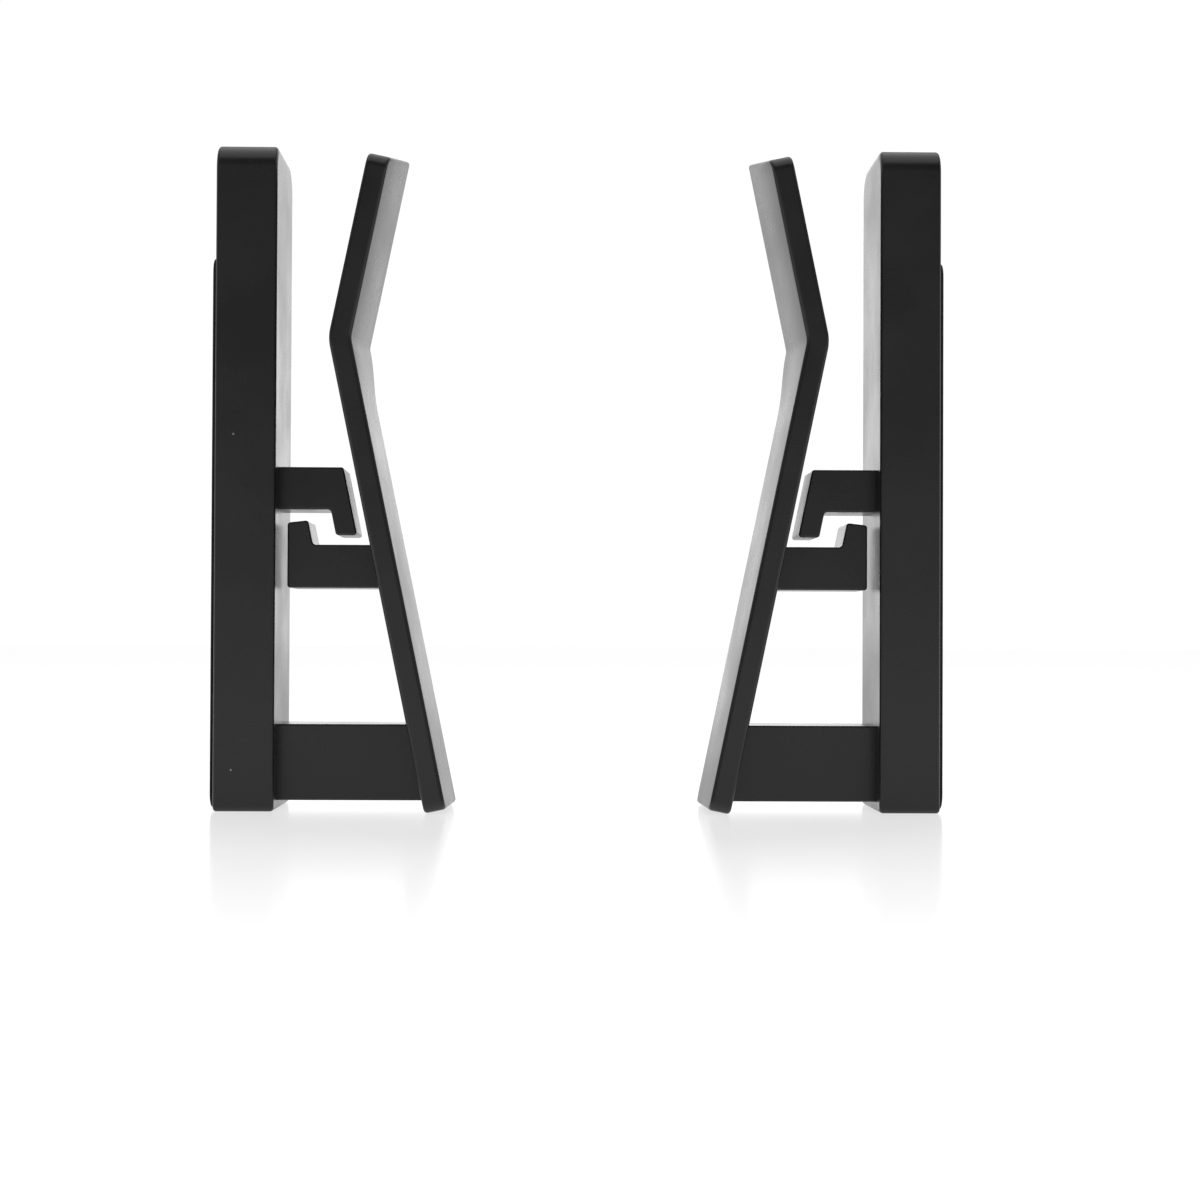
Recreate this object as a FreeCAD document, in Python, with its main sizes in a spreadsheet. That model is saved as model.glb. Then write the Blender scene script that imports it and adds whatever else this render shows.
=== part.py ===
import FreeCAD, Part
import math
import os

import Sketcher

# A pair of clip-arm book ends, in millimetres, +Z up, X along the row of books, Y front to back.
# The origin is on the floor, midway between the two units.
# Each unit is drawn once in its own frame: x runs from the upright's outer face towards the row,
# y is centred on the unit, z starts at the floor. The right unit is the same thing turned half round.

DIMENSIONS = [
    # where the two units stand
    ("unit_reach", 93.0, "from the middle of the row to each upright's outer face"),
    # upright: a moulded block, cored from its outer side
    ("upright_thick", 15.6, "along the row"),
    ("upright_depth", 36.0, "front to back"),
    ("upright_height", 171.0, "floor to top"),
    ("upright_crown", 6.0, "radius of the two top corners, seen from the side"),
    ("upright_heel", 1.2, "radius of the two bottom corners, seen from the side"),
    ("edge_round", 0.9, "radius of the upright's outer edges"),
    ("core_base", 3.0, "lowest point of the core"),
    ("core_top", 136.0, "highest point of the core"),
    ("core_width", 27.0, "front to back"),
    ("core_deep", 10.4, "depth of the core from the outer face"),
    # steel bar that fills the core
    ("bar_gap", 0.2, "clearance round the bar"),
    # rubber pad on the outer face
    ("pad_thick", 1.0, "proud of the outer face"),
    ("pad_base", 0.8, "above the floor"),
    ("pad_top", 142.0, "above the floor"),
    ("pad_width", 31.0, "front to back"),
    ("pad_corner", 4.0, "corner radius"),
    # bent spring arm
    ("arm_thick", 5.6, "at its front and back edges, square to its inner face"),
    ("arm_ridge", 1.7, "how much thicker its lower leg is along the middle line"),
    ("arm_ridge_top", 3.0, "the same for its upper leg"),
    ("arm_depth", 50.0, "front to back"),
    ("arm_lean", 11.7, "degrees from vertical, both legs"),
    ("arm_foot", 54.3, "upright's outer face to the arm's inner face at the floor"),
    ("arm_elbow", 120.4, "height of the bend on the inner face"),
    ("elbow_bend", 12.0, "radius of the bend on the inner face"),
    ("arm_height", 171.5, "highest point of the arm, on its middle line"),
    ("arm_arch", 4.3, "how much lower the top is at its front and back edges"),
    ("arm_crown", 3.0, "radius of the two top corners"),
    ("arm_heel", 2.5, "radius of the two bottom corners"),
    ("flex_start", 24.5, "along the arm, where it starts to bend"),
    ("flex_end", 36.7, "along the arm, where it stops bending"),
    # bridge block between upright and arm
    ("link_width", 19.0, "front to back, the bridge and both hooks"),
    ("bridge_base", 2.4, "above the floor"),
    ("bridge_top", 22.1, "above the floor"),
    # upper hook, fixed to the upright, lip down
    ("upper_base", 77.6, "underside of the shank"),
    ("upper_top", 88.6, "top of the shank"),
    ("upper_tip", 71.0, "lowest point of the lip"),
    ("upper_gap", 3.8, "lip to arm, along the row"),
    ("upper_lip", 5.5, "thickness of the lip, along the row"),
    # lower hook, fixed to the arm, lip up
    ("lower_base", 57.3, "underside of the shank"),
    ("lower_top", 68.5, "top of the shank"),
    ("lower_tip", 74.2, "lip height next to the upright"),
    ("lower_peak", 74.8, "lip height on its far side"),
    ("lower_gap", 2.2, "lip to upright"),
    ("lower_lip", 5.3, "thickness of the lip, along the row"),
    ("hook_fillet", 1.0, "radius inside the hooks' corners"),
    ("hook_round", 0.8, "radius of the hooks' outer corners, seen from the front"),
    # locating tenons of the bridge and hooks
    ("tenon_deep", 2.5, "how far a tenon enters its socket"),
    ("tenon_inset", 3.0, "tenon below and above the block's edges"),
    ("tenon_width", 13.0, "front to back"),
    # machine screws, put in from the outer side
    ("screw_shank", 2.0, "radius"),
    ("screw_head", 3.5, "radius"),
    ("screw_head_tall", 4.0, "height of the head"),
    ("screw_length", 20.0, "under the head"),
    ("screw_key", 1.7, "circumradius of the hexagonal socket"),
    ("screw_key_deep", 2.0, "depth of the socket"),
    ("counterbore", 3.8, "radius of the hole for the head"),
    ("counterbore_deep", 4.6, "depth from the upright's outer face"),
    ("clearance_hole", 2.2, "radius of the holes that the shank passes through"),
    ("bridge_screw_pitch", 9.0, "between the two bridge screws"),
]

XZ, YZ = "XZ_Plane", "YZ_Plane"
SIDES = ("left", "right")

doc = FreeCAD.newDocument("book_ends")


def make_sheet():
    """Write the driving dimensions, one row each: value, alias and what it measures."""
    sheet = doc.addObject("Spreadsheet::Sheet", "dims")
    for row, (alias, value, meaning) in enumerate(DIMENSIONS, start=1):
        sheet.set(f"A{row}", alias)
        sheet.set(f"B{row}", str(value))
        sheet.set(f"C{row}", meaning)
        sheet.setAlias(f"B{row}", alias)
    doc.recompute()
    return sheet


dims = make_sheet()


# ---- expressions for the slanted outlines, as text that FreeCAD works out ----

def size(expression):
    """The present value of an expression, in millimetres."""
    value = dims.evalExpression(expression)
    return float(getattr(value, "Value", value))


def arm_inner(height):
    """x of the arm's inner face at a height below the elbow."""
    return f"(dims.arm_foot - tan(dims.arm_lean * 1deg) * ({height}))"


def leg_point(along, out):
    """A point of the arm's lower leg: so far along it, and so far out from its inner face."""
    x = f"dims.arm_foot - sin(dims.arm_lean * 1deg) * ({along}) + cos(dims.arm_lean * 1deg) * ({out})"
    z = f"cos(dims.arm_lean * 1deg) * ({along}) + sin(dims.arm_lean * 1deg) * ({out})"
    return x, z


def arm_flared(height):
    """x of the arm's inner face at a height above the elbow."""
    return f"{arm_inner('dims.arm_elbow')} + tan(dims.arm_lean * 1deg) * ({height} - dims.arm_elbow)"


def upper_lip(height, out=True):
    """x of the upper hook's lip at a height: its outer face, or its inner one."""
    outer = f"{arm_inner(height)} - dims.upper_gap"
    return outer if out else f"{outer} - dims.upper_lip"


# ---- building blocks ----

def origin_plane(body, role):
    return next(plane for plane in body.Origin.OriginFeatures if plane.Role == role)


def new_sketch(body, name, role):
    sketch = body.newObject("Sketcher::SketchObject", name)
    sketch.AttachmentSupport = [(origin_plane(body, role), "")]
    sketch.MapMode = "FlatFace"
    return sketch


def outline(body, name, role, corners):
    """A closed polygon whose every corner is driven by two expressions."""
    sketch = new_sketch(body, name, role)
    places = [FreeCAD.Vector(size(x), size(y), 0) for x, y in corners]
    count = len(corners)
    for index, start in enumerate(places):
        sketch.addGeometry(Part.LineSegment(start, places[(index + 1) % count]), False)
    for index in range(count):
        sketch.addConstraint(Sketcher.Constraint("Coincident", index, 2, (index + 1) % count, 1))
    for index, (place, corner) in enumerate(zip(places, corners)):
        for kind, start, text in (("DistanceX", place.x, corner[0]), ("DistanceY", place.y, corner[1])):
            number = sketch.addConstraint(Sketcher.Constraint(kind, -1, 1, index, 1, start))
            sketch.setExpression(f"Constraints[{number}]", text)
    return sketch


def rectangle(body, name, role, low_x, low_y, high_x, high_y):
    return outline(body, name, role,
                   [(low_x, low_y), (high_x, low_y), (high_x, high_y), (low_x, high_y)])


def circles(body, name, heights, radius):
    """Round holes on the unit's middle line, seen along x."""
    sketch = new_sketch(body, name, YZ)
    for index, height in enumerate(heights):
        centre = FreeCAD.Vector(0, size(height), 0)
        sketch.addGeometry(Part.Circle(centre, FreeCAD.Vector(0, 0, 1), size(radius)), False)
        sketch.addConstraint(Sketcher.Constraint("PointOnObject", index, 3, -2))
        number = sketch.addConstraint(Sketcher.Constraint("DistanceY", -1, 1, index, 3, centre.y))
        sketch.setExpression(f"Constraints[{number}]", height)
        number = sketch.addConstraint(Sketcher.Constraint("Radius", index, size(radius)))
        sketch.setExpression(f"Constraints[{number}]", radius)
    return sketch


def pad(body, name, sketch, length, both_ways=True):
    """Add the sketch's prism, centred on its plane or all on the plane's far side."""
    feature = body.newObject("PartDesign::Pad", name)
    feature.Profile = sketch
    feature.SideType = "Symmetric" if both_ways else "One side"
    feature.setExpression("Length", length)
    doc.recompute()
    return feature


def cut(body, name, sketch, length, both_ways=True):
    """Cut the sketch's prism away, and make sure that it did cut."""
    before = body.Shape.Volume
    feature = body.newObject("PartDesign::Pocket", name)
    feature.Profile = sketch
    feature.SideType = "Symmetric" if both_ways else "One side"
    feature.Reversed = not both_ways
    feature.setExpression("Length", length)
    doc.recompute()
    if body.Shape.Volume >= before - 1:
        raise RuntimeError(f"{body.Label}: {name} cuts nothing")
    return feature


def round_edges(body, name, radius, wanted):
    """Round the edges of the body's last feature that the test picks by their box."""
    base = body.Tip
    edges = [f"Edge{number}" for number, edge in enumerate(base.Shape.Edges, start=1)
             if wanted(edge.BoundBox)]
    if not edges:
        raise RuntimeError(f"{body.Label}: {name} finds no edge")
    feature = body.newObject("PartDesign::Fillet", name)
    feature.Base = (base, edges)
    feature.setExpression("Radius", radius)
    doc.recompute()
    return feature


def near(value, target, within=0.01):
    return abs(value - target) < within


def round_corner(body, name, radius, x, z):
    """Round the one edge that runs front to back through a corner of the profile."""
    corner_x, corner_z = size(x), size(z)
    round_edges(body, name, radius,
                lambda box: near(box.XMin, corner_x) and near(box.XLength, 0)
                and near(box.ZMin, corner_z) and near(box.ZLength, 0))


def tenon(body, name, corners, socket=False):
    """A locating tenon, or the socket that takes it, from an outline seen from the front."""
    sketch = outline(body, f"{name}_outline", XZ, corners)
    make = cut if socket else pad
    return make(body, name, sketch, "dims.tenon_width")


def upright_tenon(low, high):
    """Outline of a tenon that enters the upright's inner wall."""
    start = "dims.upright_thick - dims.tenon_deep"
    base, top = f"{low} + dims.tenon_inset", f"{high} - dims.tenon_inset"
    return [(start, base), ("dims.upright_thick", base), ("dims.upright_thick", top), (start, top)]


def arm_tenon(low, high):
    """Outline of a tenon that enters the arm's inner face."""
    base, top = f"{low} + dims.tenon_inset", f"{high} - dims.tenon_inset"
    near_base, near_top = arm_inner(base), arm_inner(top)
    return [(near_base, base), (f"{near_base} + dims.tenon_deep", base),
            (f"{near_top} + dims.tenon_deep", top), (near_top, top)]


HOOK_SCREW = "(dims.upper_base + dims.upper_top) / 2"
BRIDGE_SCREWS = tuple(f"(dims.bridge_base + dims.bridge_top {sign} dims.bridge_screw_pitch) / 2"
                      for sign in "-+")
ALL_SCREWS = BRIDGE_SCREWS + (HOOK_SCREW,)


# ---- the pieces of one unit ----

def upright_shell(body):
    """The moulded upright: rounded block, core for the ballast bar, sockets and screw holes."""
    half = "dims.upright_depth / 2"
    front = rectangle(body, "block_outline", YZ, f"-{half}", "0", half, "dims.upright_height")
    pad(body, "block", front, "dims.upright_thick", both_ways=False)
    for name, height in (("crown", size("dims.upright_height")), ("heel", 0)):
        round_edges(body, name, f"dims.upright_{name}",
                    lambda box: near(box.ZMin, height) and near(box.ZMax, height) and near(box.YLength, 0))
    round_edges(body, "rims", "dims.edge_round", lambda box: near(box.XLength, 0))
    half_core = "dims.core_width / 2"
    core = rectangle(body, "core_outline", YZ, f"-{half_core}", "dims.core_base", half_core, "dims.core_top")
    cut(body, "core", core, "dims.core_deep", both_ways=False)
    tenon(body, "bridge_socket", upright_tenon("dims.bridge_base", "dims.bridge_top"), socket=True)
    tenon(body, "hook_socket", upright_tenon("dims.upper_base", "dims.upper_top"), socket=True)
    holes = circles(body, "hole_outlines", ALL_SCREWS, "dims.clearance_hole")
    cut(body, "screw_holes", holes, "dims.upright_thick", both_ways=False)


def ballast_bar(body):
    """The steel bar in the upright's core, bored for the three screws."""
    side = rectangle(body, "bar_outline", XZ, "dims.bar_gap", "dims.core_base + dims.bar_gap",
                     "dims.core_deep", "dims.core_top - dims.bar_gap")
    pad(body, "bar", side, "dims.core_width - 2 * dims.bar_gap")
    shanks = circles(body, "shank_outlines", ALL_SCREWS, "dims.clearance_hole")
    cut(body, "shank_holes", shanks, "dims.core_deep", both_ways=False)
    heads = circles(body, "head_outlines", ALL_SCREWS, "dims.counterbore")
    cut(body, "head_holes", heads, "dims.counterbore_deep", both_ways=False)


def grip_pad(body):
    """The rubber pad stuck over the core on the upright's outer face."""
    half = "dims.pad_width / 2"
    side = rectangle(body, "pad_outline", XZ, "-dims.pad_thick", "dims.pad_base", "0", "dims.pad_top")
    pad(body, "sheet", side, "dims.pad_width")
    ends = (size("dims.pad_base"), size("dims.pad_top"))
    round_edges(body, "corners", "dims.pad_corner",
                lambda box: near(box.YLength, 0) and near(box.ZLength, 0) and
                (near(box.ZMin, ends[0]) or near(box.ZMin, ends[1])))


def bridge(body):
    """The block at the foot that carries the arm, with a tenon at each end."""
    low, high = "dims.bridge_base", "dims.bridge_top"
    block = outline(body, "block_outline", XZ, [
        ("dims.upright_thick", low), (arm_inner(low), low),
        (arm_inner(high), high), ("dims.upright_thick", high)])
    pad(body, "block", block, "dims.link_width")
    tenon(body, "upright_tenon", upright_tenon(low, high))
    tenon(body, "arm_tenon", arm_tenon(low, high))
    pilot = circles(body, "pilot_outlines", BRIDGE_SCREWS, "dims.screw_shank")
    cut(body, "pilot_holes", pilot, "dims.counterbore_deep + dims.screw_length", both_ways=False)


def upper_hook(body):
    """The hook on the upright: a shank with a lip that hangs down beside the arm."""
    profile = outline(body, "hook_outline", XZ, [
        ("dims.upright_thick", "dims.upper_base"),
        (upper_lip("dims.upper_base", out=False), "dims.upper_base"),
        (upper_lip("dims.upper_tip", out=False), "dims.upper_tip"),
        (upper_lip("dims.upper_tip"), "dims.upper_tip"),
        (upper_lip("dims.upper_top"), "dims.upper_top"),
        ("dims.upright_thick", "dims.upper_top")])
    pad(body, "hook", profile, "dims.link_width")
    inner_root = upper_lip("dims.upper_base", out=False)
    inner_tip = upper_lip("dims.upper_tip", out=False)
    round_corner(body, "throat", "dims.hook_fillet", inner_root, "dims.upper_base")
    round_corner(body, "tip_near", "dims.hook_round", inner_tip, "dims.upper_tip")
    round_corner(body, "tip_far", "dims.hook_round", upper_lip("dims.upper_tip"), "dims.upper_tip")
    round_corner(body, "shoulder", "dims.hook_round", upper_lip("dims.upper_top"), "dims.upper_top")
    tenon(body, "tenon", upright_tenon("dims.upper_base", "dims.upper_top"))
    pilot = circles(body, "pilot_outline", (HOOK_SCREW,), "dims.screw_shank")
    cut(body, "pilot_hole", pilot, "dims.counterbore_deep + dims.screw_length", both_ways=False)


def lower_hook(body):
    """The hook on the arm: a shank with a lip that stands up beside the upright."""
    start = "dims.upright_thick + dims.lower_gap"
    far = f"{start} + dims.lower_lip"
    root = f"{far} + tan(dims.arm_lean * 1deg) * (dims.lower_peak - dims.lower_top)"
    profile = outline(body, "hook_outline", XZ, [
        (start, "dims.lower_base"),
        (arm_inner("dims.lower_base"), "dims.lower_base"),
        (arm_inner("dims.lower_top"), "dims.lower_top"),
        (root, "dims.lower_top"),
        (far, "dims.lower_peak"),
        (start, "dims.lower_tip")])
    pad(body, "hook", profile, "dims.link_width")
    round_corner(body, "throat", "dims.hook_fillet", root, "dims.lower_top")
    round_corner(body, "heel", "dims.hook_round", start, "dims.lower_base")
    round_corner(body, "tip_near", "dims.hook_round", start, "dims.lower_tip")
    round_corner(body, "tip_far", "dims.hook_round", far, "dims.lower_peak")
    tenon(body, "tenon", arm_tenon("dims.lower_base", "dims.lower_top"))


def roofed(body, name, corners_at):
    """A solid whose outer face rises from the front and back edges to a ridge along the middle.

    corners_at gives the profile for the thicknesses of a lower and an upper leg, and the top's height.
    """
    edge = ("dims.arm_thick", "dims.arm_thick", "(dims.arm_height - dims.arm_arch)")
    ridge = ("(dims.arm_thick + dims.arm_ridge)", "(dims.arm_thick + dims.arm_ridge_top)", "dims.arm_height")
    sketches = []
    for layer, offset, sizes in (("front", "dims.arm_depth / 2", edge), ("middle", "0", ridge),
                                 ("back", "-dims.arm_depth / 2", edge)):
        sketch = outline(body, f"{name}_{layer}", XZ, corners_at(*sizes))
        sketch.setExpression("AttachmentOffset.Base.z", offset)
        sketches.append(sketch)
    feature = body.newObject("PartDesign::AdditiveLoft", name)
    feature.Profile = sketches[0]
    feature.Sections = [(sketch, [""]) for sketch in sketches[1:]]
    feature.Ruled = True
    doc.recompute()
    return feature


def arm_stretch(body, start, end):
    """A straight stretch of the arm's lower leg."""
    roofed(body, "stretch", lambda lower, upper, top: [
        leg_point(start, "0"), leg_point(start, lower), leg_point(end, lower), leg_point(end, "0")])


def round_end(body, name, radius, height, up):
    """Round the arm's front and back corners at its top or its foot, seen from the side."""
    half, inward = "dims.arm_depth / 2", "-" if up else "+"
    sketch = new_sketch(body, f"{name}_outline", YZ)
    for number, side in enumerate((1, -1)):
        first = 3 * number
        corners = [(f"{side} * ({half} - {radius})", height), (f"{side} * {half}", height),
                   (f"{side} * {half}", f"{height} {inward} {radius}")]
        along, corner, down = [FreeCAD.Vector(size(y), size(z), 0) for y, z in corners]
        sketch.addGeometry(Part.LineSegment(along, corner), False)
        sketch.addGeometry(Part.LineSegment(corner, down), False)
        start = (0 if up else 270) if side > 0 else (90 if up else 180)
        circle = Part.Circle(FreeCAD.Vector(along.x, down.y, 0), FreeCAD.Vector(0, 0, 1), size(radius))
        sketch.addGeometry(Part.ArcOfCircle(circle, math.radians(start), math.radians(start + 90)), False)
        down_first = (side > 0) == up
        sketch.addConstraint(Sketcher.Constraint("Coincident", first, 2, first + 1, 1))
        at_down, at_along = (1, 2) if down_first else (2, 1)
        sketch.addConstraint(Sketcher.Constraint("Coincident", first + 1, 2, first + 2, at_down))
        sketch.addConstraint(Sketcher.Constraint("Coincident", first, 1, first + 2, at_along))
        for line, point, place, texts in ((first, 1, along, corners[0]), (first, 2, corner, corners[1]),
                                          (first + 1, 2, down, corners[2])):
            for kind, value, text in (("DistanceX", place.x, texts[0]), ("DistanceY", place.y, texts[1])):
                index = sketch.addConstraint(Sketcher.Constraint(kind, -1, 1, line, point, value))
                sketch.setExpression(f"Constraints[{index}]", text)
        index = sketch.addConstraint(Sketcher.Constraint("Radius", first + 2, size(radius)))
        sketch.setExpression(f"Constraints[{index}]", radius)
    return cut(body, name, sketch, "2 * dims.arm_foot", both_ways=False)


def arm_foot(body):
    """The arm's foot, from the floor to where it starts to bend."""
    arm_stretch(body, "0", "dims.flex_start")
    round_end(body, "heel", "dims.arm_heel", "0", up=False)
    tenon(body, "bridge_socket", arm_tenon("dims.bridge_base", "dims.bridge_top"), socket=True)


def arm_flexure(body):
    """The stretch of the arm that bends, just above the bridge."""
    arm_stretch(body, "dims.flex_start", "dims.flex_end")


def blade_corners(lower, upper, top):
    """The blade's profile, for its thicknesses below and above the elbow and the height of its top.

    The bend of the inner face is drawn as a flat that touches its arc halfway.
    """
    lean = "dims.arm_lean * 1deg"
    elbow_x = f"{arm_inner('dims.arm_elbow')} + ({lower} + {upper}) / 2 / cos({lean})"
    elbow_z = f"dims.arm_elbow - ({upper} - {lower}) / 2 / sin({lean})"
    top_x, top_z = f"{arm_flared(top)} + {upper} * cos({lean})", f"{top} - {upper} * sin({lean})"
    reach = f"dims.elbow_bend * (tan({lean}) - tan({lean} / 2)) * cos({lean})"
    bend_high, bend_low = f"(dims.arm_elbow + {reach})", f"(dims.arm_elbow - {reach})"
    return [leg_point("dims.flex_end", "0"), leg_point("dims.flex_end", lower), (elbow_x, elbow_z),
            (top_x, top_z), (arm_flared(top), top), (arm_flared(bend_high), bend_high),
            (arm_inner(bend_low), bend_low)]


def arm_blade(body):
    """The rest of the arm: up to the elbow, then flared away from the upright."""
    roofed(body, "blade", blade_corners)
    shoulder = "(dims.arm_height - dims.arm_arch * (1 - 3 * dims.arm_crown / dims.arm_depth))"
    round_end(body, "crown", "dims.arm_crown", shoulder, up=True)
    tenon(body, "hook_socket", arm_tenon("dims.lower_base", "dims.lower_top"), socket=True)


PIECES = {
    "upright_shell": upright_shell,
    "ballast_bar": ballast_bar,
    "grip_pad": grip_pad,
    "bridge": bridge,
    "upper_hook": upper_hook,
    "lower_hook": lower_hook,
    "arm_foot": arm_foot,
    "arm_flexure": arm_flexure,
    "arm_blade": arm_blade,
}


def screw(name, height):
    """A socket-head screw along x: its head in the ballast bar, its point in the bridge or hook."""
    turn = FreeCAD.Rotation(FreeCAD.Vector(0, 1, 0), 90)
    seat = "dims.counterbore_deep"

    def place(piece, x):
        piece.Placement = FreeCAD.Placement(FreeCAD.Vector(), turn)
        piece.setExpression("Placement.Base.x", x)
        piece.setExpression("Placement.Base.z", height)
        return piece

    head = place(doc.addObject("Part::Cylinder", f"{name}_head"), f"{seat} - dims.screw_head_tall")
    head.setExpression("Radius", "dims.screw_head")
    head.setExpression("Height", "dims.screw_head_tall")
    shank = place(doc.addObject("Part::Cylinder", f"{name}_shank"), seat)
    shank.setExpression("Radius", "dims.screw_shank")
    shank.setExpression("Height", "dims.screw_length")
    key = place(doc.addObject("Part::Prism", f"{name}_key"), f"{seat} - dims.screw_head_tall")
    key.setExpression("Circumradius", "dims.screw_key")
    key.setExpression("Height", "dims.screw_key_deep")
    whole = doc.addObject("Part::Fuse", f"{name}_whole")
    whole.Base, whole.Tool = head, shank
    result = doc.addObject("Part::Cut", name)
    result.Base, result.Tool = whole, key
    return result


def screw_group(name, heights):
    """Identical screws as one node of separate solids."""
    group = doc.addObject("Part::Compound", name)
    group.Links = [screw(f"{name}_{number}", height) for number, height in enumerate(heights, start=1)]
    return group


def stand(node, side):
    """Put a finished piece in its unit's place: the right unit is turned half round."""
    turn = FreeCAD.Rotation(FreeCAD.Vector(0, 0, 1), 0 if side == "left" else 180)
    node.Placement = FreeCAD.Placement(FreeCAD.Vector(), turn)
    node.setExpression("Placement.Base.x", "-dims.unit_reach" if side == "left" else "dims.unit_reach")


def make_unit(side):
    nodes = []
    for piece, shape in PIECES.items():
        body = doc.addObject("PartDesign::Body", f"{side}_{piece}")
        shape(body)
        nodes.append(body)
    nodes.append(screw_group(f"{side}_bridge_screws", BRIDGE_SCREWS))
    nodes.append(screw_group(f"{side}_hook_screw", (HOOK_SCREW,)))
    for node in nodes:
        stand(node, side)
    return nodes


def check_document(nodes):
    """Stop on any failed object and any empty or invalid shape."""
    for item in doc.Objects:
        if {"Invalid", "Error"} & set(item.State):
            raise RuntimeError(f"{item.Name} is {item.State}")
    for node in nodes:
        if node.Shape.isNull() or not node.Shape.isValid() or not node.Shape.Solids:
            raise RuntimeError(f"{node.Label} has no valid solid")


def export(nodes):
    os.makedirs("parts", exist_ok=True)
    for node in nodes:
        node.Shape.exportStep(f"parts/{node.Label}.step")
        print(f"{node.Label}: {len(node.Shape.Solids)} solid(s), {node.Shape.Volume / 1000:.2f} cm3")


all_nodes = [node for side in SIDES for node in make_unit(side)]
doc.recompute()
check_document(all_nodes)
export(all_nodes)
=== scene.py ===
import math

import bmesh
import bpy
from mathutils import Matrix, Vector


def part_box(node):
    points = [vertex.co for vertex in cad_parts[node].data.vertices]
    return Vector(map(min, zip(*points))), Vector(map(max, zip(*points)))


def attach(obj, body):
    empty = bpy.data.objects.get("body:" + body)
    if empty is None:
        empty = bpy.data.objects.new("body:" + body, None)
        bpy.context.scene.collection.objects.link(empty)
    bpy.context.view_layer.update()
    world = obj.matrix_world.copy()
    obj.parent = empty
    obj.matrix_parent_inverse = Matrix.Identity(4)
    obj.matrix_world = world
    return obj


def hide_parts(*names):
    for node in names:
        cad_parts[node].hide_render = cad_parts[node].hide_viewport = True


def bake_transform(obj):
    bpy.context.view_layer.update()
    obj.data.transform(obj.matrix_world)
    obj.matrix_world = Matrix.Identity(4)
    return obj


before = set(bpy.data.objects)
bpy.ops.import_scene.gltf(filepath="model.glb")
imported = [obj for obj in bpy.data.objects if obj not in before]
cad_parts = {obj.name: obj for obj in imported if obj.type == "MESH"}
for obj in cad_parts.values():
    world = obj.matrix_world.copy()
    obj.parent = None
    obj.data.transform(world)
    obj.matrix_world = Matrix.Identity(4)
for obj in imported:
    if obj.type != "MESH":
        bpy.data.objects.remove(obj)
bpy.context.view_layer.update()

MM = 0.001

# ---- sizes, in millimetres, in a unit's own frame ----
# u runs from the upright's outer face towards the row of books, y is centred, z starts at the floor.


def node_size(node):
    """A node's lowest and highest corners, in millimetres."""
    low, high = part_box(node)
    return low / MM, high / MM


UPRIGHT_LOW, UPRIGHT_HIGH = node_size("left_upright_shell")
REACH = -UPRIGHT_LOW.x
UPRIGHT_THICK = UPRIGHT_HIGH.x - UPRIGHT_LOW.x
UPRIGHT_HALF = UPRIGHT_HIGH.y
UPRIGHT_TOP = UPRIGHT_HIGH.z
PAD_LOW, PAD_HIGH = node_size("left_grip_pad")
PAD_THICK = PAD_HIGH.x - PAD_LOW.x
BAR_LOW, BAR_HIGH = node_size("left_ballast_bar")
BAR_GAP = 0.2
BRIDGE_LOW, BRIDGE_HIGH = node_size("left_bridge")
UPPER_LOW, UPPER_HIGH = node_size("left_upper_hook")
LOWER_LOW = node_size("left_lower_hook")[0]
BLADE_HIGH = node_size("left_arm_blade")[1]
LINK_HALF = BRIDGE_HIGH.y
ARM_HALF = BLADE_HIGH.y

ARM_THICK = 5.6
ARM_RIDGE, ARM_RIDGE_TOP = 1.7, 3.0
LEAN = math.radians(11.7)
ARM_FOOT = 54.3
ELBOW_HEIGHT = 120.4
ELBOW_BEND = 12.0
ARM_TOP = BLADE_HIGH.z
ARM_ARCH = 4.3
ARM_CROWN = 3.0
ARM_HEEL = 2.5
FLEX_START = 22.0
FLEX_END = 39.0


def arm_inner(height):
    """u of the arm's inner face below the elbow."""
    return ARM_FOOT - math.tan(LEAN) * height


def unit_matrix(side):
    """From a unit's frame in millimetres to the row frame in metres. The right unit is turned half round."""
    turn = Matrix.Rotation(0 if side == "left" else math.pi, 4, "Z")
    shift = Matrix.Translation(Vector((-REACH * MM, 0, 0)))
    return turn @ shift @ Matrix.Scale(MM, 4)


# ---- meshes ----

def rounded_rectangle(low, high, radii, steps=8):
    """Points round a rectangle in a plane, anticlockwise from the low corner. radii is one per corner."""
    (x0, y0), (x1, y1) = low, high
    corners = ((x0, y0, 180), (x1, y0, 270), (x1, y1, 0), (x0, y1, 90))
    points = []
    for (x, y, start), radius in zip(corners, radii):
        centre_x = x + (radius if x == x0 else -radius)
        centre_y = y + (radius if y == y0 else -radius)
        for step in range(steps + 1):
            angle = math.radians(start + 90 * step / steps)
            points.append((centre_x + radius * math.cos(angle), centre_y + radius * math.sin(angle)))
    return points


def rounded_outline(corners, steps=5):
    """A polygon whose corners (x, y, radius) are replaced by arcs, or kept where the radius is 0."""
    points = []
    count = len(corners)
    for index, (x, y, radius) in enumerate(corners):
        here = Vector((x, y))
        if radius <= 0:
            points.append((x, y))
            continue
        back = (Vector(corners[index - 1][:2]) - here).normalized()
        ahead = (Vector(corners[(index + 1) % count][:2]) - here).normalized()
        half = back.angle(ahead) / 2
        reach = radius / math.tan(half)
        centre = here + (back + ahead).normalized() * (radius / math.sin(half))
        first, last = here + back * reach - centre, here + ahead * reach - centre
        sweep = first.angle_signed(last)
        for step in range(steps + 1):
            point = centre + Matrix.Rotation(-sweep * step / steps, 2) @ first
            points.append((point.x, point.y))
    return points


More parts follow.
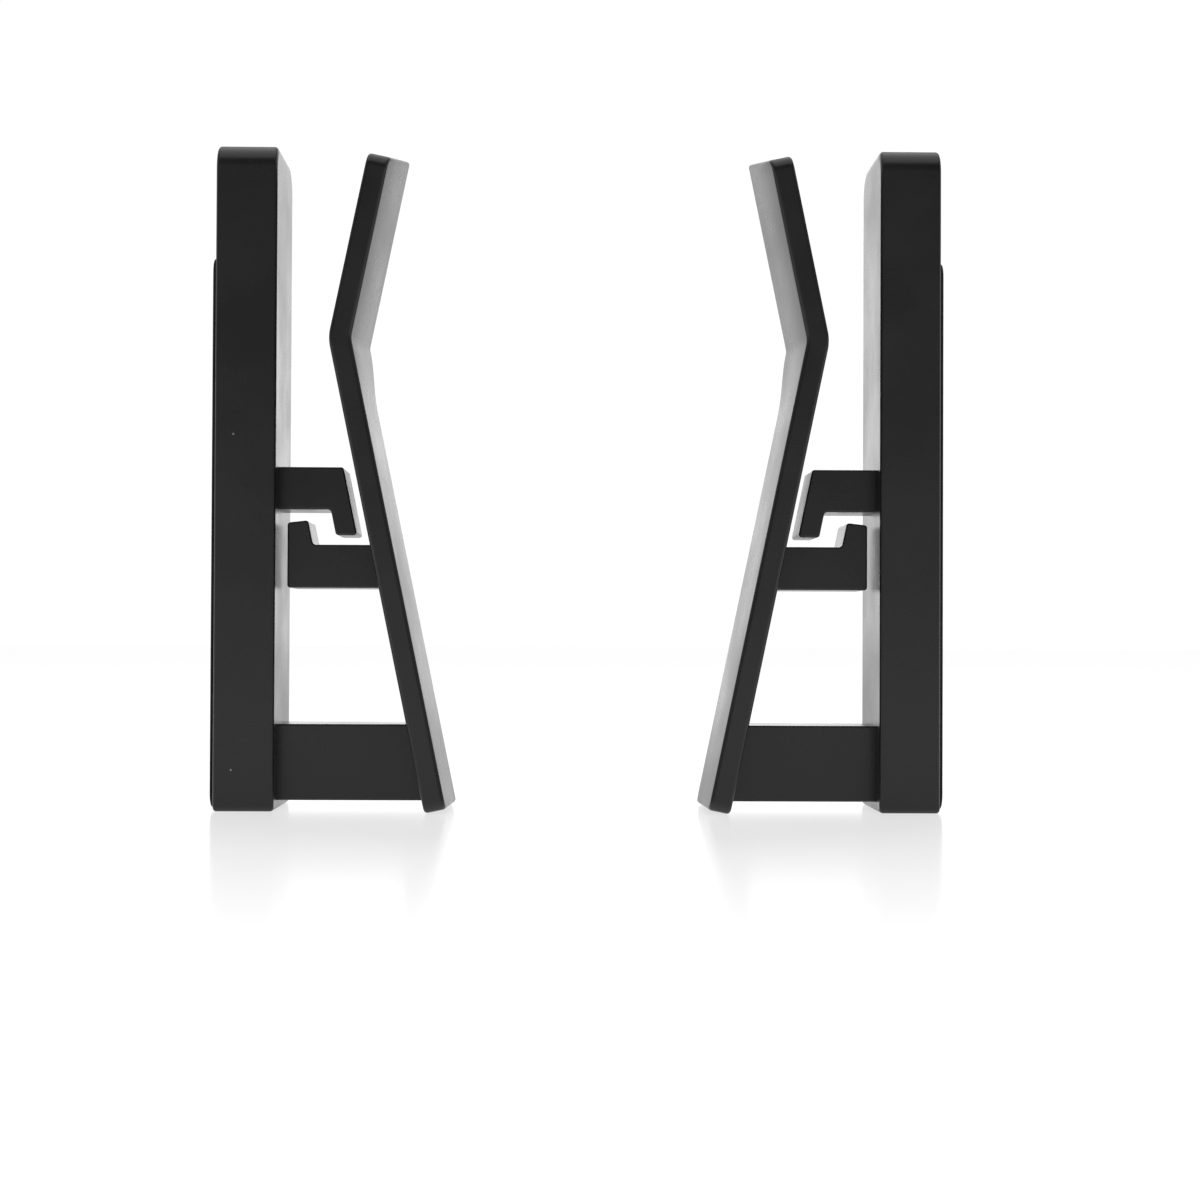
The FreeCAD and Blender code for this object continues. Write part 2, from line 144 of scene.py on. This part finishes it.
def loft(rings):
    """A closed mesh through rings of equal count, with a flat cap at each end."""
    mesh = bmesh.new()
    loops = [[mesh.verts.new(point) for point in ring] for ring in rings]
    for first, second in zip(loops, loops[1:]):
        for index in range(len(first)):
            after = (index + 1) % len(first)
            mesh.faces.new((first[index], first[after], second[after], second[index]))
    mesh.faces.new(list(reversed(loops[0])))
    mesh.faces.new(loops[-1])
    bmesh.ops.recalc_face_normals(mesh, faces=mesh.faces)
    return mesh


def prism(outline, half_depth):
    """A closed mesh with that outline in u and z, from front to back."""
    return loft([[(x, y, z) for x, z in outline] for y in (-half_depth, half_depth)])


def make_object(name, mesh, side, material):
    """Turn a mesh in a unit's frame into an object in the row frame."""
    mesh.transform(unit_matrix(side))
    data = bpy.data.meshes.new(name)
    mesh.to_mesh(data)
    mesh.free()
    data.materials.append(material)
    data.shade_smooth()
    item = bpy.data.objects.new(name, data)
    bpy.context.scene.collection.objects.link(item)
    return item


def bevel(item, width, segments=3, angle=35):
    """Round the sharp edges. The width is in millimetres."""
    modifier = item.modifiers.new("rims", "BEVEL")
    modifier.width = width * MM
    modifier.segments = segments
    modifier.limit_method = "ANGLE"
    modifier.angle_limit = math.radians(angle)
    modifier.miter_outer = "MITER_ARC"
    return modifier


def settle(item):
    """Make the modifiers' result the mesh itself."""
    graph = bpy.context.evaluated_depsgraph_get()
    data = bpy.data.meshes.new_from_object(item.evaluated_get(graph))
    item.modifiers.clear()
    item.data = data
    return item


def smooth_flats(item):
    """Keep flat faces flat and let the shading turn only over the rims."""
    modifier = item.modifiers.new("flats", "WEIGHTED_NORMAL")
    modifier.keep_sharp = True
    modifier.weight = 100
    return item


def finish_piece(item, body, slot, *nodes):
    smooth_flats(item)
    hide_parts(*nodes)
    if body:
        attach(item, body)
    return item


# ---- materials ----

def node_tree(name):
    material = bpy.data.materials.new(name)
    material.use_nodes = True
    tree = material.node_tree
    shader = next(node for node in tree.nodes if node.type == "BSDF_PRINCIPLED")
    return material, tree, shader


def add(tree, kind, **settings):
    node = tree.nodes.new(kind)
    for key, value in settings.items():
        if key in node.inputs:
            node.inputs[key].default_value = value
        else:
            setattr(node, key, value)
    return node


def noise(tree, coordinates, size, detail=3.0, roughness=0.5):
    """Noise whose features are about so many millimetres across."""
    node = add(tree, "ShaderNodeTexNoise", Scale=1 / (size * MM), Detail=detail, Roughness=roughness)
    tree.links.new(coordinates, node.inputs["Vector"])
    return node.outputs["Fac"]


def spread(tree, value, low, high, out_low, out_high):
    """The value's range from low to high, spread over a new range and clamped."""
    node = add(tree, "ShaderNodeMapRange", clamp=True)
    for key, number in zip(("From Min", "From Max", "To Min", "To Max"), (low, high, out_low, out_high)):
        node.inputs[key].default_value = number
    tree.links.new(value, node.inputs["Value"])
    return node.outputs["Result"]


def bump(tree, height, depth, strength, below=None):
    """A bump so many millimetres deep, laid over the one below it."""
    node = add(tree, "ShaderNodeBump", Strength=strength, Distance=depth * MM)
    tree.links.new(height, node.inputs["Height"])
    if below:
        tree.links.new(below, node.inputs["Normal"])
    return node.outputs["Normal"]


def specks(tree, coordinates, size, share):
    """Sparse round dust specks, 1 on a speck and 0 elsewhere."""
    cells = add(tree, "ShaderNodeTexVoronoi", Scale=1 / (size * MM), Randomness=1.0)
    tree.links.new(coordinates, cells.inputs["Vector"])
    near = spread(tree, cells.outputs["Distance"], 0.03, 0.06, 1.0, 0.0)
    split = add(tree, "ShaderNodeSeparateColor")
    tree.links.new(cells.outputs["Color"], split.inputs["Color"])
    chosen = spread(tree, split.outputs[0], 1 - share, 1 - share * 0.9, 0.0, 1.0)
    both = add(tree, "ShaderNodeMath", operation="MULTIPLY")
    tree.links.new(near, both.inputs[0])
    tree.links.new(chosen, both.inputs[1])
    return both.outputs[0]


def mix_colors(tree, factor, first, second):
    node = add(tree, "ShaderNodeMix", data_type="RGBA")
    tree.links.new(factor, node.inputs["Factor"])
    for socket, color in ((node.inputs[6], first), (node.inputs[7], second)):
        if isinstance(color, tuple):
            socket.default_value = (*color, 1)
        else:
            tree.links.new(color, socket)
    return node.outputs[2]


def black_plastic():
    """Injection-moulded black plastic with a fine spark-eroded grain, faint smudges and a little dust."""
    material, tree, shader = node_tree("black_plastic")
    place = add(tree, "ShaderNodeTexCoord").outputs["Object"]
    smudge = noise(tree, place, 22.0, 4.0)
    grain = noise(tree, place, 0.42, 2.0, 0.6)
    pits = noise(tree, place, 0.16, 1.0)
    tone = mix_colors(tree, spread(tree, smudge, 0.35, 0.7, 0.0, 1.0), (0.0120, 0.0120, 0.0127),
                      (0.0160, 0.0158, 0.0156))
    color = mix_colors(tree, specks(tree, place, 5.5, 0.06), tone, (0.32, 0.31, 0.29))
    tree.links.new(color, shader.inputs["Base Color"])
    tree.links.new(spread(tree, smudge, 0.3, 0.75, 0.24, 0.32), shader.inputs["Roughness"])
    coarse = bump(tree, grain, 0.03, 0.25)
    tree.links.new(bump(tree, pits, 0.012, 0.25, coarse), shader.inputs["Normal"])
    shader.inputs["IOR"].default_value = 1.5
    return material


def black_rubber():
    """Matte black sheet rubber with a slightly open, cellular skin."""
    material, tree, shader = node_tree("black_rubber")
    place = add(tree, "ShaderNodeTexCoord").outputs["Object"]
    cells = add(tree, "ShaderNodeTexVoronoi", Scale=1 / (0.55 * MM), Randomness=1.0)
    tree.links.new(place, cells.inputs["Vector"])
    blotch = noise(tree, place, 6.0, 3.0)
    color = mix_colors(tree, blotch, (0.011, 0.011, 0.012), (0.019, 0.019, 0.019))
    tree.links.new(color, shader.inputs["Base Color"])
    tree.links.new(spread(tree, blotch, 0.3, 0.7, 0.72, 0.86), shader.inputs["Roughness"])
    skin = bump(tree, cells.outputs["Distance"], 0.08, 0.5)
    tree.links.new(bump(tree, noise(tree, place, 0.2, 1.0), 0.02, 0.3, skin), shader.inputs["Normal"])
    shader.inputs["IOR"].default_value = 1.45
    return material


def plain_steel():
    """Cut steel bar: brushed along its length, with a slight uneven oxide."""
    material, tree, shader = node_tree("plain_steel")
    place = add(tree, "ShaderNodeTexCoord").outputs["Object"]
    stretch = add(tree, "ShaderNodeMapping")
    stretch.inputs["Scale"].default_value = (1.0, 1.0, 0.04)
    tree.links.new(place, stretch.inputs["Vector"])
    lines = noise(tree, stretch.outputs["Vector"], 0.15, 2.0)
    oxide = noise(tree, place, 5.0, 4.0)
    color = mix_colors(tree, oxide, (0.42, 0.42, 0.43), (0.30, 0.29, 0.28))
    tree.links.new(color, shader.inputs["Base Color"])
    tree.links.new(spread(tree, lines, 0.3, 0.7, 0.28, 0.42), shader.inputs["Roughness"])
    tree.links.new(bump(tree, lines, 0.01, 0.3), shader.inputs["Normal"])
    shader.inputs["Metallic"].default_value = 1.0
    return material


PLASTIC = black_plastic()
RUBBER = black_rubber()
STEEL = plain_steel()

# ---- the upright ----
CROWN, HEEL = 6.0, 1.2
OUTER_RIM = 0.9
INNER_RIM = 1.0
NOSE = 2.2
RIM_STEPS = 6
PAD_RIM, PAD_CORNER = 0.3, 4.0


def upright_ring(u, inset_side, inset_top):
    """A section of the upright at u, drawn in from its sides and top."""
    crown = CROWN - inset_side * 0.5
    heel = HEEL - inset_side * 0.5
    outline = rounded_rectangle((-UPRIGHT_HALF + inset_side, inset_side),
                                (UPRIGHT_HALF - inset_side, UPRIGHT_TOP - inset_top),
                                (heel, heel, crown, crown))
    return [(u, y, z) for y, z in outline]


def core_ring(u):
    core = rounded_rectangle((BAR_LOW.y - BAR_GAP, BAR_LOW.z - BAR_GAP),
                             (BAR_HIGH.y + BAR_GAP, BAR_HIGH.z + BAR_GAP), (0.4,) * 4)
    return [(u, y, z) for y, z in core]


def rim_inset(radius, share):
    """How far a round rim has drawn in at a share of the way from its face to its tangent."""
    angle = share * math.pi / 2
    return radius * (1 - math.sin(angle)), radius * (1 - math.cos(angle))


def make_upright(side):
    core_deep = BAR_HIGH.x + REACH
    rings = [core_ring(core_deep), core_ring(0.0)]
    for step in range(RIM_STEPS + 1):
        inset, depth = rim_inset(OUTER_RIM, step / RIM_STEPS)
        rings.append(upright_ring(depth, inset, inset))
    for step in range(RIM_STEPS + 1):
        share = 1 - step / RIM_STEPS
        inset, depth = rim_inset(INNER_RIM, share)
        top_inset = rim_inset(NOSE, share)[0]
        rings.append(upright_ring(UPRIGHT_THICK - depth, inset, top_inset))
    item = make_object(f"{side}_upright", loft(rings), side, PLASTIC)
    return finish_piece(item, f"{side}_unit", "black_plastic", f"{side}_upright_shell")


def make_pad(side):
    """The pad: a flat sheet with its outer edge slightly broken."""
    sections = ((0.0, 0.0), (-PAD_THICK + PAD_RIM, 0.0),
                (-PAD_THICK + PAD_RIM * 0.3, PAD_RIM * 0.3), (-PAD_THICK, PAD_RIM))
    rings = []
    for u, inset in sections:
        outline = rounded_rectangle((PAD_LOW.y + inset, PAD_LOW.z + inset),
                                    (PAD_HIGH.y - inset, PAD_HIGH.z - inset), (PAD_CORNER - inset,) * 4)
        rings.append([(u, y, z) for y, z in outline])
    item = make_object(f"{side}_pad", loft(rings), side, RUBBER)
    return finish_piece(item, f"{side}_unit", "black_rubber", f"{side}_grip_pad")


# ---- the bridge and the hooks ----
LINK_RIM = 0.45
TUCK = 0.8
BRIDGE_BASE, BRIDGE_TOP = BRIDGE_LOW.z, BRIDGE_HIGH.z
UPPER_BASE, UPPER_TOP, UPPER_TIP = 77.6, UPPER_HIGH.z, UPPER_LOW.z
UPPER_GAP, UPPER_LIP = 3.8, 5.5
LOWER_BASE, LOWER_TOP = LOWER_LOW.z, 68.5
LOWER_TIP, LOWER_PEAK = 74.2, 74.8
LOWER_START = LOWER_LOW.x + REACH
LOWER_LIP = 5.3
HOOK_FILLET, HOOK_ROUND = 1.0, 0.8


def make_link(name, side, corners, body, *nodes):
    item = make_object(f"{side}_{name}", prism(rounded_outline(corners), LINK_HALF), side, PLASTIC)
    bevel(item, LINK_RIM, 4)
    return finish_piece(item, body, "black_plastic", *nodes)


def make_bridge(side):
    start = UPRIGHT_THICK - TUCK
    corners = [(start, BRIDGE_BASE, 0), (arm_inner(BRIDGE_BASE) + TUCK, BRIDGE_BASE, 0),
               (arm_inner(BRIDGE_TOP) + TUCK, BRIDGE_TOP, 0), (start, BRIDGE_TOP, 0)]
    return make_link("bridge", side, corners, f"{side}_unit", f"{side}_bridge")


def make_upper_hook(side):
    start = UPRIGHT_THICK - TUCK

    def outer(height):
        return arm_inner(height) - UPPER_GAP

    corners = [(start, UPPER_BASE, 0), (outer(UPPER_BASE) - UPPER_LIP, UPPER_BASE, HOOK_FILLET),
               (outer(UPPER_TIP) - UPPER_LIP, UPPER_TIP, HOOK_ROUND), (outer(UPPER_TIP), UPPER_TIP, HOOK_ROUND),
               (outer(UPPER_TOP), UPPER_TOP, HOOK_ROUND), (start, UPPER_TOP, 0)]
    return make_link("upper_hook", side, corners, f"{side}_unit", f"{side}_upper_hook")


def make_lower_hook(side):
    far = LOWER_START + LOWER_LIP
    root = far + math.tan(LEAN) * (LOWER_PEAK - LOWER_TOP)
    corners = [(LOWER_START, LOWER_BASE, HOOK_ROUND), (arm_inner(LOWER_BASE) + TUCK, LOWER_BASE, 0),
               (arm_inner(LOWER_TOP) + TUCK, LOWER_TOP, 0), (root, LOWER_TOP, HOOK_FILLET),
               (far, LOWER_PEAK, HOOK_ROUND), (LOWER_START, LOWER_TIP, HOOK_ROUND)]
    return make_link("lower_hook", side, corners, f"{side}_arm", f"{side}_lower_hook")


# ---- the arm: one plate, drawn flat, then bent at the elbow ----
TURN = 2 * LEAN
TANGENT = ELBOW_BEND * math.tan(TURN / 2)
ARC = ELBOW_BEND * TURN
LEG = ELBOW_HEIGHT / math.cos(LEAN)
BEND_START = LEG - TANGENT
BEND_END = BEND_START + ARC
ARM_LENGTH = BEND_END + (ARM_TOP - ELBOW_HEIGHT) / math.cos(LEAN) - TANGENT
ARM_RIM = 0.95
CORNER_STEPS = 14
RIDGE_GROWTH = 16.0


def bend(point):
    """From the flat plate (along, across, out from the inner face) to the unit's frame."""
    along, across, out = point
    lower = Vector((-math.sin(LEAN), math.cos(LEAN)))
    upper = Vector((math.sin(LEAN), math.cos(LEAN)))
    foot = Vector((ARM_FOOT, 0.0))
    if along <= BEND_START:
        base, heading = foot + lower * along, lower
    elif along >= BEND_END:
        elbow = foot + lower * LEG
        base, heading = elbow + upper * (TANGENT + along - BEND_END), upper
    else:
        start = foot + lower * BEND_START
        centre = start + Vector((lower.y, -lower.x)) * ELBOW_BEND
        turned = -(along - BEND_START) / ELBOW_BEND
        swing = Matrix.Rotation(turned, 2)
        base, heading = centre + swing @ (start - centre), swing @ lower
    place = base + Vector((heading.y, -heading.x)) * out
    return place.x, across, place.y


def frange(start, end, step):
    count = max(1, round((end - start) / step))
    return [start + (end - start) * index / count for index in range(count + 1)]


def plate_stations():
    """Places along the arm where the plate has a cross line: close together where it bends."""
    stations = frange(ARM_HEEL + 1, FLEX_START, 4.0) + frange(FLEX_START, FLEX_END, 1.0)[1:]
    growth = BEND_START - RIDGE_GROWTH
    stations += frange(FLEX_END, growth, 10.0)[1:] + frange(growth, BEND_START, 1.0)[1:]
    stations += frange(BEND_START, BEND_END, 0.5)[1:]
    return stations + frange(BEND_END, ARM_LENGTH - ARM_ARCH - ARM_CROWN - 1, 8.0)[1:]


def end_points(at_top):
    """The plate's outline past its first or last cross line, with a point on the middle line."""
    low, high = (-ARM_HALF, 0.0), (ARM_HALF, ARM_LENGTH)
    outline = rounded_rectangle(low, high, (ARM_HEEL, ARM_HEEL, ARM_CROWN, ARM_CROWN), steps=CORNER_STEPS)
    middle = ARM_LENGTH / 2
    points = [(along, across) for across, along in outline if (along > middle) == at_top]
    points.insert(len(points) // 2, (ARM_LENGTH if at_top else 0.0, 0.0))
    if at_top:
        points = [(along - ARM_ARCH * abs(across) / ARM_HALF, across) for along, across in points]
    return points


def outer_face(along, across):
    """How far the outer face is from the inner one: it rises to a ridge along the middle line."""
    share = min(max((along - BEND_START) / RIDGE_GROWTH + 1, 0.0), 1.0)
    ridge = ARM_RIDGE + (ARM_RIDGE_TOP - ARM_RIDGE) * share * share * (3 - 2 * share)
    return ARM_THICK + ridge * (1 - abs(across) / ARM_HALF)


def plate_row(mesh, places, height):
    """Vertices at places (along, across) of the plate, on the face whose height function is given."""
    return [mesh.verts.new((along, across, height(along, across))) for along, across in places]


def inner_face(along, across):
    """The inner face is flat, and out is measured from it."""
    return 0.0


def flat_plate():
    """The arm before it is bent: inner face flat, outer face roofed, outline rounded at both ends."""
    mesh = bmesh.new()
    stations = plate_stations()
    foot_line, crown_line = end_points(False), end_points(True)
    half = len(foot_line) // 2
    loops = []
    for height in (inner_face, outer_face):
        front, middle, back = (plate_row(mesh, [(along, across) for along in stations], height)
                               for across in (-ARM_HALF, 0.0, ARM_HALF))
        foot, crown = plate_row(mesh, foot_line, height), plate_row(mesh, crown_line, height)
        for near, far in ((front, middle), (middle, back)):
            for index in range(len(stations) - 1):
                mesh.faces.new((near[index], near[index + 1], far[index + 1], far[index]))
        mesh.faces.new([front[0]] + foot[:half + 1] + [middle[0]])
        mesh.faces.new([middle[0]] + foot[half:] + [back[0]])
        mesh.faces.new([back[-1]] + crown[:half + 1] + [middle[-1]])
        mesh.faces.new([middle[-1]] + crown[half:] + [front[-1]])
        loops.append(front[::-1] + foot + back + crown)
    inner, outer = loops
    for index in range(len(inner)):
        after = (index + 1) % len(inner)
        mesh.faces.new((inner[index], inner[after], outer[after], outer[index]))
    bmesh.ops.recalc_face_normals(mesh, faces=mesh.faces)
    return mesh


def make_arm(side):
    item = make_object(f"{side}_arm_moulding", flat_plate(), side, PLASTIC)
    item.data.transform(unit_matrix(side).inverted())
    modifier = bevel(item, ARM_RIM, 5)
    modifier.width = ARM_RIM
    settle(item)
    for vertex in item.data.vertices:
        vertex.co = bend(vertex.co)
    item.data.transform(unit_matrix(side))
    item.data.shade_smooth()
    finish_piece(item, None, "black_plastic", f"{side}_arm_foot", f"{side}_arm_flexure", f"{side}_arm_blade")
    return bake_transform(item)


def dress_hidden(side):
    """The pieces inside the upright stay as the CAD draws them."""
    for node in ("ballast_bar", "bridge_screws", "hook_screw"):
        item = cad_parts[f"{side}_{node}"]
        item.data.materials.clear()
        item.data.materials.append(STEEL)


for unit in ("left", "right"):
    make_upright(unit)
    make_pad(unit)
    make_bridge(unit)
    make_upper_hook(unit)
    make_lower_hook(unit)
    make_arm(unit)
    dress_hidden(unit)

# ---- floor, light and camera ----
MIRROR_NEAR, MIRROR_FAR = 0.10, 0.325
MIRROR_SHARE = 0.27
CAMERA_PLACE = (-5.74, -631.5, 44.5)
CAMERA_TURN_TILT_ROLL = (1.06, 0.92, 0.25)


def make_floor():
    """A white, evenly lit table top that faintly mirrors what stands near the middle of it."""
    mesh = bmesh.new()
    bmesh.ops.create_grid(mesh, x_segments=8, y_segments=8, size=12.0)
    data = bpy.data.meshes.new("floor")
    mesh.to_mesh(data)
    mesh.free()
    floor = bpy.data.objects.new("floor", data)
    bpy.context.scene.collection.objects.link(floor)
    material, tree, shader = node_tree("pale_floor")
    shader.inputs["Base Color"].default_value = (0.3, 0.3, 0.3, 1)
    shader.inputs["Roughness"].default_value = 0.9
    shader.inputs["Specular IOR Level"].default_value = 0.0
    shader.inputs["Emission Color"].default_value = (1, 1, 1, 1)
    shader.inputs["Emission Strength"].default_value = 0.9
    place = add(tree, "ShaderNodeTexCoord").outputs["Object"]
    distance = add(tree, "ShaderNodeVectorMath", operation="LENGTH")
    tree.links.new(place, distance.inputs[0])
    mirrored = spread(tree, distance.outputs["Value"], MIRROR_NEAR, MIRROR_FAR, MIRROR_SHARE, 0.0)
    gloss = add(tree, "ShaderNodeBsdfAnisotropic", Roughness=0.15)
    blend = add(tree, "ShaderNodeMixShader")
    output = next(node for node in tree.nodes if node.type == "OUTPUT_MATERIAL")
    tree.links.new(mirrored, blend.inputs[0])
    tree.links.new(shader.outputs[0], blend.inputs[1])
    tree.links.new(gloss.outputs[0], blend.inputs[2])
    tree.links.new(blend.outputs[0], output.inputs["Surface"])
    data.materials.append(material)


def make_world():
    """White to the eye. As light, a tent: brightest low down and behind, dim at the sides and in front."""
    world = bpy.data.worlds.new("studio")
    bpy.context.scene.world = world
    world.use_nodes = True
    tree = world.node_tree
    background = next(node for node in tree.nodes if node.type == "BACKGROUND")
    direction = add(tree, "ShaderNodeTexCoord").outputs["Generated"]
    split = add(tree, "ShaderNodeSeparateXYZ")
    tree.links.new(direction, split.inputs[0])
    front_to_back = spread(tree, split.outputs["Y"], -0.75, 0.25, 0.12, 1.0)
    low_to_high = spread(tree, split.outputs["Z"], 0.15, 0.6, 1.8, 0.5)
    sideways = add(tree, "ShaderNodeMath", operation="ABSOLUTE")
    tree.links.new(split.outputs["X"], sideways.inputs[0])
    middle_to_side = spread(tree, sideways.outputs[0], 0.05, 0.35, 1.2, 0.45)
    strength = middle_to_side
    for part in (front_to_back, low_to_high):
        product = add(tree, "ShaderNodeMath", operation="MULTIPLY")
        tree.links.new(strength, product.inputs[0])
        tree.links.new(part, product.inputs[1])
        strength = product.outputs[0]
    seen = add(tree, "ShaderNodeLightPath").outputs["Is Camera Ray"]
    choose = add(tree, "ShaderNodeMix", data_type="FLOAT")
    tree.links.new(seen, choose.inputs["Factor"])
    tree.links.new(strength, choose.inputs[2])
    choose.inputs[3].default_value = 1.02
    background.inputs["Color"].default_value = (1, 1, 1, 1)
    tree.links.new(choose.outputs[0], background.inputs["Strength"])


def area_light(name, place, target, size, power):
    data = bpy.data.lights.new(name, "AREA")
    data.shape = "RECTANGLE"
    data.size, data.size_y = size
    data.energy = power
    item = bpy.data.objects.new(name, data)
    bpy.context.scene.collection.objects.link(item)
    item.location = place
    item.rotation_mode = "QUATERNION"
    item.rotation_quaternion = (Vector(target) - Vector(place)).to_track_quat("-Z", "Y")


def make_camera():
    """The main view: nearly level, a little above the table, turned slightly to the right."""
    data = bpy.data.cameras.new("camera")
    data.lens, data.sensor_width = 72.0, 36.0
    data.clip_start, data.clip_end = 0.01, 50.0
    turn, tilt, roll = (math.radians(angle) for angle in CAMERA_TURN_TILT_ROLL)
    ahead = Vector((math.sin(turn) * math.cos(tilt), math.cos(turn) * math.cos(tilt), math.sin(tilt)))
    right = ahead.cross(Vector((0, 0, 1))).normalized()
    right = Matrix.Rotation(-roll, 3, ahead) @ right
    above = right.cross(ahead)
    place = Vector(CAMERA_PLACE) * MM
    camera = bpy.data.objects.new("camera", data)
    bpy.context.scene.collection.objects.link(camera)
    camera.matrix_world = Matrix((
        (right.x, above.x, -ahead.x, place.x),
        (right.y, above.y, -ahead.y, place.y),
        (right.z, above.z, -ahead.z, place.z),
        (0, 0, 0, 1)))
    bpy.context.scene.camera = camera


make_floor()
make_world()
area_light("top", (0, 0.1, 1.6), (0, 0, 0), (2.4, 2.4), 14.0)
make_camera()
bpy.context.scene.view_settings.view_transform = "Standard"
bpy.context.scene.view_settings.look = "None"
